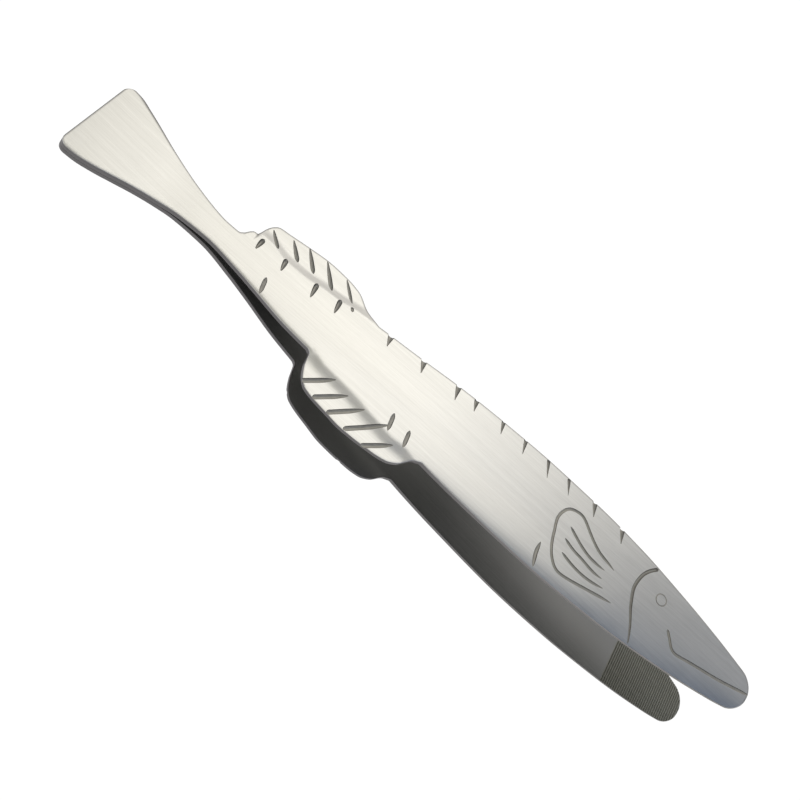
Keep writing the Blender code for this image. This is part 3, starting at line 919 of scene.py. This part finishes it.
    def blank(self, materials: list[bpy.types.Material]) -> bpy.types.Object:
        """The shaped sheet before it is cut, with a material for each zone.

        Args:
            materials: The materials in the order of the zones.

        Returns:
            The sheet's object.
        """
        points, groups, zones = self.lay_out()
        points = points - np.array([*self.form.middle, 0])
        faces = np.vstack(groups)
        if self.side is Side.LOWER:
            points[:, 2] *= -1
            faces = faces[:, ::-1]
        mesh = bpy.data.meshes.new(self.name + "_sheet")
        mesh.from_pydata(points.tolist(), [], faces.tolist())
        mesh.update()
        for material in materials:
            mesh.materials.append(material)
        mesh.polygons.foreach_set("material_index", zones.astype(np.int32))
        return add_object(self.name + "_sheet", mesh)

    def cut(self, blank: bpy.types.Object, materials: list[bpy.types.Material]) -> bpy.types.Object:
        """Cuts the marks and the grip into the sheet and keeps the result as a plain mesh.

        Each tool leaves the finish of its own zone on the walls that it cuts.

        Args:
            blank: The shaped sheet.
            materials: The materials in the order of the zones.

        Returns:
            The same object with the cut mesh.
        """
        graver = Graver(self.form)
        tools = [graver.tool(strokes, self.side, f"{self.name}_{name}_tool")
                 for name, strokes in self.engraving.sets().items()]
        tools.append(GripCuts(self.form).tool(self.side, self.name + "_grip_tool"))
        for tool in tools:
            zone = Face.GRIP_CUT if "grip" in tool.name else Face.MARK
            indices = np.full(len(tool.data.polygons), zone.value, dtype=np.int32)
            for material in materials:
                tool.data.materials.append(material)
            tool.data.polygons.foreach_set("material_index", indices)
            boolean = blank.modifiers.new(tool.name, "BOOLEAN")
            boolean.operation = "DIFFERENCE"
            boolean.solver = "MANIFOLD"
            boolean.object = tool
        evaluated = blank.evaluated_get(bpy.context.evaluated_depsgraph_get())
        mesh = bpy.data.meshes.new_from_object(evaluated)
        mesh.name = self.name + "_sheet"
        blank.modifiers.clear()
        spare = blank.data
        blank.data = mesh
        bpy.data.meshes.remove(spare)
        for tool in tools:
            bpy.data.objects.remove(tool, do_unlink=True)
        return blank

    def edge_distances(self, place: Array, height: Array) -> tuple[Array, Array]:
        """How far points lie within the belly edge, and within the rest of the outline.

        It is the distance across the fish, times the cosine of the edge's slope there, or the distance
        from the tail's or the nose's end where that is less.

        Args:
            place: Places of the points.
            height: Their heights.

        Returns:
            The distances from the belly edge and from the rest.
        """
        form, least = self.form, self.slope_step
        inside = np.clip(place, least, form.length - least)
        away = np.minimum(place - form.tail_slant * (height + form.tail_bottom), form.length - place)
        across = []
        for edge, sign in ((form.top, 1), (form.bottom, -1)):
            slope = (edge(inside + least) - edge(inside - least)) / (2 * least)
            across.append(sign * (edge(inside) - height) / np.hypot(1, slope))
        return across[1], np.minimum(away, across[0])

    def note_edges(self, mesh: bpy.types.Mesh) -> None:
        """Stores two shares at each point, which fall to 0 inwards.

        The wear's share is 1 on the whole outline. The painted edge shade's is 1 on the belly edge and less
        on the rest, where it reaches further in.

        Args:
            mesh: The cut sheet.
        """
        points = np.empty(len(mesh.vertices) * 3)
        mesh.vertices.foreach_get("co", points)
        points = points.reshape(-1, 3) + np.array([*self.form.middle, 0])
        belly, rest = self.edge_distances(points[:, 0], points[:, 1])
        nearness = np.clip(1 - np.minimum(belly, rest) / self.wear_reach, 0, 1)
        # Painted shade: a weaker line along the back, tail end and nose, and full shade on the belly edge
        line = np.clip(1 - rest / self.back_shade_reach, 0, 1) * self.back_shade_share
        edge_shade = np.maximum(line, np.clip(1 - belly / self.outer_round, 0, 1))
        for name, values in (("edge_nearness", nearness), ("edge_shade", edge_shade)):
            attribute = mesh.attributes.new(name, "FLOAT", "POINT")
            attribute.data.foreach_set("value", values.astype(np.float32))

    def build(self, finishes: dict[Face, bpy.types.Material]) -> bpy.types.Object:
        """Builds and dresses the arm.

        Args:
            finishes: The material of each zone.

        Returns:
            The arm's object.
        """
        materials = [finishes[zone] for zone in Face]
        arm = self.cut(self.blank(materials), materials)
        mesh = arm.data
        self.note_edges(mesh)
        mesh.shade_smooth()
        mesh.set_sharp_from_angle(angle=math.radians(self.sharp_angle))
        start, end = ((place - self.form.middle[0], 0, 0) for place in (self.bend_start, self.bend_end))
        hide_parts(self.name, "upper_tail_leaf" if self.side is Side.UPPER else "lower_tail_leaf")
        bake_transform(arm)
        LOG.info("%s: %d points, %d faces", arm.name, len(mesh.vertices), len(mesh.polygons))
        return arm


# Finishes


class Wire:
    """A value on its way through a shader. Plain arithmetic on it adds Math nodes."""

    def __init__(self, bench: "Bench", socket: bpy.types.NodeSocket) -> None:
        """Keeps the socket that the value comes from."""
        self.bench = bench
        self.socket = socket

    def math(self, operation: str, *values: Any) -> "Wire":
        """Adds one Math node for the operation on the given values, or on this one alone."""
        sockets = dict(enumerate(values or (self,)))
        return self.bench.wire("ShaderNodeMath", {"operation": operation}, sockets)

    def __add__(self, other: Any) -> "Wire":
        """self + other"""
        return self.math("ADD", self, other)

    def __sub__(self, other: Any) -> "Wire":
        """self - other"""
        return self.math("SUBTRACT", self, other)

    def __mul__(self, other: Any) -> "Wire":
        """self * other"""
        return self.math("MULTIPLY", self, other)

    def clamped(self) -> "Wire":
        """Keeps the value between 0 and 1."""
        node = self.bench.node("ShaderNodeClamp", {}, {"Value": self})
        return Wire(self.bench, node.outputs[0])

    def step(self, low: float, high: float) -> "Wire":
        """Goes from 0 at low to 1 at high, level at both. Low may lie above high."""
        node = self.bench.node("ShaderNodeMapRange", {"interpolation_type": "SMOOTHSTEP"},
                               {"Value": self, "From Min": low, "From Max": high})
        return Wire(self.bench, node.outputs[0])


@dataclass(frozen=True)
class Grain:
    """A noise pattern: how the coordinates are stretched and shifted, and how fine and rough it is."""

    stretch: Triple = (1.0, 1.0, 1.0)
    scale: float = 1.0
    detail: float = 2.0
    roughness: float = 0.5
    shift: float = 0.0


class Bench:
    """The node tree of one material or of the world, and the means to fill it."""

    def __init__(self, tree: bpy.types.NodeTree) -> None:
        """Empties the tree."""
        self.tree = tree
        tree.nodes.clear()

    def node(self, kind: str, settings: dict[str, Any], sockets: dict[Any, Any]) -> bpy.types.Node:
        """Adds a node.

        Args:
            kind: The node's type.
            settings: Its settings, made first.
            sockets: Values or wires of its inputs, by name or number.

        Returns:
            The node.
        """
        node = self.tree.nodes.new(kind)
        for key, value in settings.items():
            setattr(node, key, value)
        for key, value in sockets.items():
            socket = node.inputs[key]
            if isinstance(value, Wire):
                self.tree.links.new(value.socket, socket)
            else:
                socket.default_value = value
        return node

    def wire(self, kind: str, settings: dict[str, Any], sockets: dict[Any, Any], output: Any = 0) -> Wire:
        """Adds a node and gives one of its outputs."""
        return Wire(self, self.node(kind, settings, sockets).outputs[output])

    def axis(self, name: str) -> Wire:
        """One of the object coordinates: X grows towards the nose, Y towards the back."""
        coordinates = self.wire("ShaderNodeTexCoord", {}, {}, "Object")
        return self.wire("ShaderNodeSeparateXYZ", {}, {0: coordinates}, name)

    def stored(self, name: str) -> Wire:
        """A share that the piece's mesh stores at its points."""
        return self.wire("ShaderNodeAttribute", {"attribute_name": name}, {}, "Fac")

    def noise(self, grain: Grain) -> Wire:
        """A pattern of values between 0 and 1 over the object coordinates.

        Args:
            grain: The pattern.

        Returns:
            The values.
        """
        coordinates = self.wire("ShaderNodeTexCoord", {}, {}, "Object")
        where = self.wire("ShaderNodeMapping", {}, {"Vector": coordinates, "Scale": grain.stretch,
                                                    "Location": (grain.shift,) * 3})
        return self.wire("ShaderNodeTexNoise", {}, {"Vector": where, "Scale": grain.scale,
                                                    "Detail": grain.detail, "Roughness": grain.roughness})

    def mix(self, share: Any, first: Any, second: Any) -> Wire:
        """Mixes two colours.

        In the Mix node, inputs 0, 6 and 7 are the share and the two colours. Output 2 is their mix.

        Args:
            share: The second colour's share.
            first: A colour or a wire.
            second: The same.

        Returns:
            The mixed colour.
        """
        colours = [value if isinstance(value, Wire) else (*value, 1) for value in (first, second)]
        node = self.node("ShaderNodeMix", {"data_type": "RGBA"}, {})
        for socket, value in zip((node.inputs[0], node.inputs[6], node.inputs[7]), (share, *colours)):
            if isinstance(value, Wire):
                self.tree.links.new(value.socket, socket)
            else:
                socket.default_value = value
        return Wire(self, node.outputs[2])

    def bump(self, height: Wire, distance: float) -> Wire:
        """Turns heights between 0 and 1 into a normal."""
        return self.wire("ShaderNodeBump", {}, {"Strength": 1.0, "Distance": distance, "Height": height})

    def surface(self, sockets: dict[str, Any]) -> None:
        """Ends the tree with a Principled shader."""
        shader = self.wire("ShaderNodeBsdfPrincipled", {}, sockets)
        self.node("ShaderNodeOutputMaterial", {}, {"Surface": shader})


def new_material(name: str) -> tuple[bpy.types.Material, Bench]:
    """Makes an empty material and its bench.

    Args:
        name: The material's name.

    Returns:
        The material and the bench that fills it.
    """
    material = bpy.data.materials.new(name)
    material.use_nodes = True
    return material, Bench(material.node_tree)


# Where the painted shade on the edges turns lighter towards the nose, and how light it is there
NOSE_STRETCH = (-20 * MM, 60 * MM)
NOSE_EDGE_SHADE = (0.205, 0.195, 0.19)


@dataclass(frozen=True)
class BrushedSteel:
    """Stainless steel brushed along the fish, with faint clouds, fine lines and edges worn brighter.

    An inner face may get painted light on its far side and behind the fins. An outer face has painted shade
    on its edge. Each pair says where a part begins to come in or to go out, and where it has done so.
    """

    name: str = "satin_steel"
    light: Colour = (0.86, 0.857, 0.848)
    dark: Colour = (0.70, 0.697, 0.688)
    worn: Colour = (0.88, 0.88, 0.87)
    roughness: float = 0.30
    roughness_range: float = 0.10
    lines: Grain = Grain((26.0, 7000.0, 160.0), 1.0, 3.0, 0.6)
    fine: Grain = Grain((380.0, 8500.0, 300.0), 1.0, 1.0, shift=3.1)
    streaks: Grain = Grain((16.0, 1700.0, 60.0), 1.0, 2.0, 0.7, 6.3)
    cloud: Grain = Grain((1.0, 2.2, 1.0), 55.0, shift=1.7)
    fine_share: float = 0.6
    brush_share: float = 1.4
    cloud_share: float = 0.3
    streak_share: float = 1.0
    tone_shift: float = -0.35
    line_depth: float = 0.0022 * MM
    wear: float = 0.15
    wear_start: float = 0.72
    worn_polish: float = 0.05
    cloud_roughness: float = 0.06
    # Painted light on an inner face's far side, and where it comes in
    painted_far_light: Colour | None = None
    far_places: Pair = (8 * MM, 46 * MM)
    far_heights: Pair = (-7.5 * MM, 1 * MM)
    # Painted light on an inner face behind the fins, and where it comes in and goes out
    painted_fin_light: Colour | None = None
    fin_start: Pair = (-34 * MM, -24 * MM)
    fin_end: Pair = (14 * MM, -2 * MM)
    # Painted shade on the outer face's rounded edge, and the shares of the stored shade over which it comes
    # in
    edge: Colour | None = None
    edge_shade_shares: Pair = (0.1, 0.9)
    anisotropic: float = 0.35

    def material(self) -> bpy.types.Material:
        """Makes the material.

        The tone between dark and light follows the brushing, the clouds and the streaks. The painted light,
        the wear and the painted edge shade are laid over it one after another.

        Returns:
            The material.
        """
        material, bench = new_material(self.name)
        lines, fine = bench.noise(self.lines), bench.noise(self.fine)
        streaks, cloud = bench.noise(self.streaks), bench.noise(self.cloud)
        brushed = lines * (1 - self.fine_share) + fine * self.fine_share
        worn = bench.stored("edge_nearness").step(self.wear_start, 1.0) * self.wear
        tone = brushed * self.brush_share + cloud * self.cloud_share
        tone = tone + (streaks - 0.5) * self.streak_share + self.tone_shift
        colour = bench.mix(tone.clamped(), self.dark, self.light)
        # Painted light on the far side of an inner face
        if self.painted_far_light:
            share = bench.axis("X").step(*self.far_places) * bench.axis("Y").step(*self.far_heights)
            colour = bench.mix(share, colour, self.painted_far_light)
        # Painted light on an inner face behind the fins
        if self.painted_fin_light:
            share = bench.axis("X").step(*self.fin_start) * bench.axis("X").step(*self.fin_end)
            colour = bench.mix(share, colour, self.painted_fin_light)
        colour = bench.mix(worn, colour, self.worn)
        # Painted shade along the rounded edges, lighter towards the nose
        if self.edge:
            edge = bench.mix(bench.axis("X").step(*NOSE_STRETCH), self.edge, NOSE_EDGE_SHADE)
            colour = bench.mix(bench.stored("edge_shade").step(*self.edge_shade_shares), colour, edge)
        rough = brushed * self.roughness_range + (self.roughness - self.roughness_range / 2)
        rough = rough + cloud * self.cloud_roughness - worn * self.worn_polish
        bench.surface({"Base Color": colour, "Metallic": 1.0, "Roughness": rough,
                       "Anisotropic": self.anisotropic,
                       "Normal": bench.bump(brushed, self.line_depth)})
        return material


@dataclass(frozen=True)
class DullSteel:
    """Unbrushed steel, mixed from a fine and a coarse grain. Its own values suit bare weld metal.

    Each triple of shares holds the fine grain's share, the coarse one's and what is added to them.
    """

    name: str = "dull_steel"
    light: Colour = (0.50, 0.49, 0.47)
    dark: Colour = (0.30, 0.28, 0.25)
    fine: Grain = Grain(scale=2400.0, detail=3.0)
    coarse: Grain = Grain(scale=500.0, detail=1.0, shift=4.4)
    tone_shares: Triple = (0.4, 0.7, -0.05)
    rough_shares: Triple = (0.2, 0.0, 0.4)
    grain_depth: float = 0.01 * MM

    def colour(self, bench: Bench, tone: Wire) -> Wire:
        """The colour for a tone between 0 and 1."""
        return bench.mix(tone, self.dark, self.light)

    def material(self) -> bpy.types.Material:
        """Makes the material.

        Returns:
            The material.
        """
        material, bench = new_material(self.name)
        fine, coarse = bench.noise(self.fine), bench.noise(self.coarse)
        tone, rough = (fine * shares[0] + coarse * shares[1] + shares[2]
                       for shares in (self.tone_shares, self.rough_shares))
        bench.surface({"Base Color": self.colour(bench, tone.clamped()), "Metallic": 1.0,
                       "Roughness": rough, "Normal": bench.bump(fine, self.grain_depth)})
        return material


@dataclass(frozen=True)
class CutEdge(DullSteel):
    """The blanked and tumbled edge of the sheet, with the traces of the shear across it and painted shade
    that makes it dark grey.
    """

    name: str = "shaded_cut_edge_steel"
    light: Colour = (0.155, 0.148, 0.150)
    dark: Colour = (0.105, 0.100, 0.103)
    fine: Grain = Grain((5200.0, 5200.0, 500.0))
    coarse: Grain = Grain(scale=320.0, shift=2.3)
    tone_shares: Triple = (0.6, 0.6, -0.1)
    rough_shares: Triple = (0.15, 0.1, 0.30)
    grain_depth: float = 0.004 * MM

    def colour(self, bench: Bench, tone: Wire) -> Wire:
        """The colour for a tone, its painted shade lighter towards the nose."""
        return bench.mix(bench.axis("X").step(*NOSE_STRETCH), super().colour(bench, tone), NOSE_EDGE_SHADE)


@dataclass(frozen=True)
class EngravedSteel(DullSteel):
    """The dull, darkened ground of an engraved mark, and painted shade on its walls."""

    name: str = "engraved_steel"
    light: Colour = (0.57, 0.555, 0.52)
    dark: Colour = (0.34, 0.33, 0.305)
    # Painted shade on the walls of a mark, and the slopes over which it fades out
    wall: Colour = (0.22, 0.215, 0.20)
    wall_shade_slopes: Pair = (0.72, 0.97)
    fine: Grain = Grain(scale=3800.0, detail=3.0)
    coarse: Grain = Grain(scale=900.0, detail=1.0, shift=5.1)
    tone_shares: Triple = (0.5, 0.6, -0.1)
    rough_shares: Triple = (0.25, 0.0, 0.43)

    def colour(self, bench: Bench, tone: Wire) -> Wire:
        """The colour for a tone, with painted shade where the face stands upright.

        Args:
            bench: The material's bench.
            tone: The tone between 0 and 1.

        Returns:
            The colour.
        """
        facing = bench.wire("ShaderNodeTexCoord", {}, {}, "Normal")
        level = bench.wire("ShaderNodeSeparateXYZ", {}, {0: facing}, "Z").math("ABSOLUTE")
        return bench.mix(level.step(*self.wall_shade_slopes), self.wall, super().colour(bench, tone))


@dataclass(frozen=True)
class WeldSteel(DullSteel):
    """The bare metal of a spot weld."""

    name: str = "spot_weld_steel"


def finishes() -> dict[Face, bpy.types.Material]:
    """Makes the material of each zone of an arm.

    Returns:
        The materials by zone.
    """
    # Painted shade: the inner face is a darker copy of the steel, with painted light on its far side and
    # behind the fins
    inner = BrushedSteel("shaded_inner_steel", (0.26, 0.261, 0.257), (0.18, 0.181, 0.176), (0.36, 0.361, 0.355),
                         0.42, streak_share=0.8, painted_far_light=(0.38, 0.377, 0.37),
                         painted_fin_light=(0.30, 0.299, 0.291))
    # Painted shade: the grip is a dark olive-grey copy of the steel, with painted light on its far side
    grip = BrushedSteel("shaded_grip_steel", (0.27, 0.271, 0.236), (0.18, 0.181, 0.155), (0.32, 0.32, 0.285),
                        0.38, streak_share=0.5, painted_far_light=(0.37, 0.368, 0.33))
    # Painted shade in the grip's cuts: a still darker copy of the grip steel
    cut = BrushedSteel("shaded_grip_cut_steel", (0.24, 0.24, 0.21), (0.155, 0.155, 0.135), (0.24, 0.24, 0.215),
                       0.45)
    # The outer steel carries painted shade on its rounded edges
    kinds = {Face.OUTER: BrushedSteel(edge=(0.13, 0.125, 0.128)), Face.INNER: inner, Face.RIM: CutEdge(),
             Face.GRIP: grip, Face.MARK: EngravedSteel(), Face.GRIP_CUT: cut}
    return {face: kind.material() for face, kind in kinds.items()}


# The spot welds


@dataclass(frozen=True)
class SpotWelds:
    """The two welds between the tail leaves, kept from the frame and given their finish."""

    nodes: tuple[str, ...] = ("tail_end_spot_weld", "neck_spot_weld")

    def dress(self) -> None:
        """Gives the welds their material."""
        material = WeldSteel().material()
        for node in self.nodes:
            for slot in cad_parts[node].material_slots:
                slot.material = material
            LOG.info("%s dressed", node)


# The studio


@dataclass(frozen=True)
class Panel:
    """A soft rectangular lamp that faces the middle of the scene."""

    name: str
    place: Triple
    size: Pair
    power: float
    colour: Colour = (1.0, 1.0, 1.0)

    def put_up(self) -> None:
        """Adds the lamp."""
        data = bpy.data.lights.new(self.name, "AREA")
        data.shape = "RECTANGLE"
        data.size, data.size_y = self.size
        data.energy = self.power
        data.color = self.colour
        lamp = add_object(self.name, data)
        lamp.location = self.place
        lamp.rotation_euler = (-Vector(self.place)).to_track_quat("-Z", "Y").to_euler()


@dataclass(frozen=True)
class Studio:
    """A white floor, a pale room with a grey ceiling, two soft lamps and the camera."""

    floor_size: float = 6.0
    floor_drop: float = 0.3 * MM
    floor_colour: Colour = (0.86, 0.86, 0.86)
    floor_white: Colour = (1.0, 1.0, 1.0)
    floor_glow: float = 1.12
    floor_glow_share: float = 0.85
    ceiling: Colour = (0.36, 0.355, 0.345)
    left_ceiling: Colour = (0.425, 0.413, 0.36)
    right_ceiling: Colour = (0.295, 0.293, 0.285)
    right_near_ceiling: Colour = (0.20, 0.225, 0.27)
    dim_ceiling: Colour = (0.155, 0.160, 0.172)
    dim_near_ceiling: Colour = (0.045, 0.080, 0.142)
    far_wall: Colour = (0.75, 0.72, 0.665)
    wall: Colour = (1.0, 1.0, 1.0)
    left_span: Pair = (-0.08, 0.02)
    right_span: Pair = (0.06, 0.20)
    dim_span: Pair = (0.245, 0.39)
    near_span: Pair = (0.36, 0.56)
    far_span: Pair = (0.60, 0.80)
    ceiling_heights: Pair = (0.50, 0.80)
    lens: float = 65.2505
    sensor: float = 36.0
    clip: Pair = (0.01, 20.0)
    camera_place: Triple = (-0.04417523, -0.13242590, 0.20712231)
    camera_right: Triple = (0.71186619, 0.51760192, 0.47469441)
    camera_up: Triple = (-0.68420959, 0.66359819, 0.30248086)
    panels: tuple[Panel, ...] = (
        Panel("far_soft_lamp", (-0.016, 0.225, 0.345), (0.24, 0.26), 0.204, (1.0, 0.968, 0.885)),
        Panel("side_fill_lamp", (-0.45, -0.35, 0.35), (0.5, 0.5), 0.5))

    def lay_floor(self) -> None:
        """Lays the floor, which the camera, steel and glass see as white and which keeps the shadow."""
        half = self.floor_size / 2
        level = CAD_BOX[0][2] - self.floor_drop
        corners = [(x, y, level) for x, y in ((-half, -half), (half, -half), (half, half), (-half, half))]
        mesh = bpy.data.meshes.new("white_floor")
        mesh.from_pydata(corners, [], [(0, 1, 2, 3)])
        floor = add_object("white_floor", mesh)
        material, bench = new_material("white_floor_paint")
        path = bench.node("ShaderNodeLightPath", {}, {})
        seen = (Wire(bench, path.outputs["Is Camera Ray"]) + Wire(bench, path.outputs["Is Glossy Ray"])
                + Wire(bench, path.outputs["Is Transmission Ray"])).clamped()
        matt = bench.wire("ShaderNodeBsdfDiffuse", {}, {"Color": (*self.floor_colour, 1)})
        white = bench.wire("ShaderNodeEmission", {}, {"Color": (*self.floor_white, 1),
                                                      "Strength": self.floor_glow})
        mixed = bench.wire("ShaderNodeMixShader", {}, {0: seen * self.floor_glow_share, 1: matt, 2: white})
        bench.node("ShaderNodeOutputMaterial", {}, {"Surface": mixed})
        mesh.materials.append(material)

    def light_room(self) -> None:
        """Lights the room: white walls down to the floor, duller at the far side, and a grey ceiling.

        The parts of the room are mixed by the direction's share to the right, to the far side and upwards.
        """
        world = bpy.data.worlds.new("pale_room")
        world.use_nodes = True
        bench = Bench(world.node_tree)
        direction = bench.wire("ShaderNodeTexCoord", {}, {}, "Generated")
        parts = bench.node("ShaderNodeSeparateXYZ", {}, {0: direction})
        right, far, height = (Wire(bench, parts.outputs[axis]) for axis in "XYZ")
        near = far.step(*self.near_span)
        dim = bench.mix(near, self.dim_near_ceiling, self.dim_ceiling)
        right_part = bench.mix(near, self.right_near_ceiling, self.right_ceiling)
        ceiling = bench.mix(right.step(*self.left_span), self.left_ceiling, self.ceiling)
        ceiling = bench.mix(right.step(*self.right_span), ceiling, right_part)
        ceiling = bench.mix(right.step(*self.dim_span), ceiling, dim)
        walls = bench.mix(far.step(*self.far_span), self.wall, self.far_wall)
        colour = bench.mix(height.step(*self.ceiling_heights), walls, ceiling)
        background = bench.wire("ShaderNodeBackground", {}, {"Color": colour, "Strength": 1.0})
        bench.node("ShaderNodeOutputWorld", {}, {"Surface": background})
        bpy.context.scene.world = world

    def set_camera(self) -> None:
        """Sets the camera at the picture's place and angle."""
        data = bpy.data.cameras.new("picture_camera")
        data.lens = self.lens
        data.sensor_width = self.sensor
        data.clip_start, data.clip_end = self.clip
        camera = add_object("picture_camera", data)
        right, up = Vector(self.camera_right), Vector(self.camera_up)
        turn = Matrix((right, up, right.cross(up))).transposed()
        camera.matrix_world = Matrix.Translation(self.camera_place) @ turn.to_4x4()
        bpy.context.scene.camera = camera

    def set_up(self) -> None:
        """Sets up the whole studio."""
        self.lay_floor()
        self.light_room()
        for panel in self.panels:
            panel.put_up()
        self.set_camera()
        bpy.context.scene.view_settings.view_transform = "Standard"
        LOG.info("studio set up")


def main() -> None:
    """Builds the tweezers and the studio, in order."""
    logging.basicConfig(level=logging.INFO, format="%(message)s")
    form, engraving, zones = FishForm(), Engraving(), finishes()
    for side in Side:
        Arm(side, form, engraving).build(zones)
    SpotWelds().dress()
    Studio().set_up()


if __name__ == "__main__":
    main()
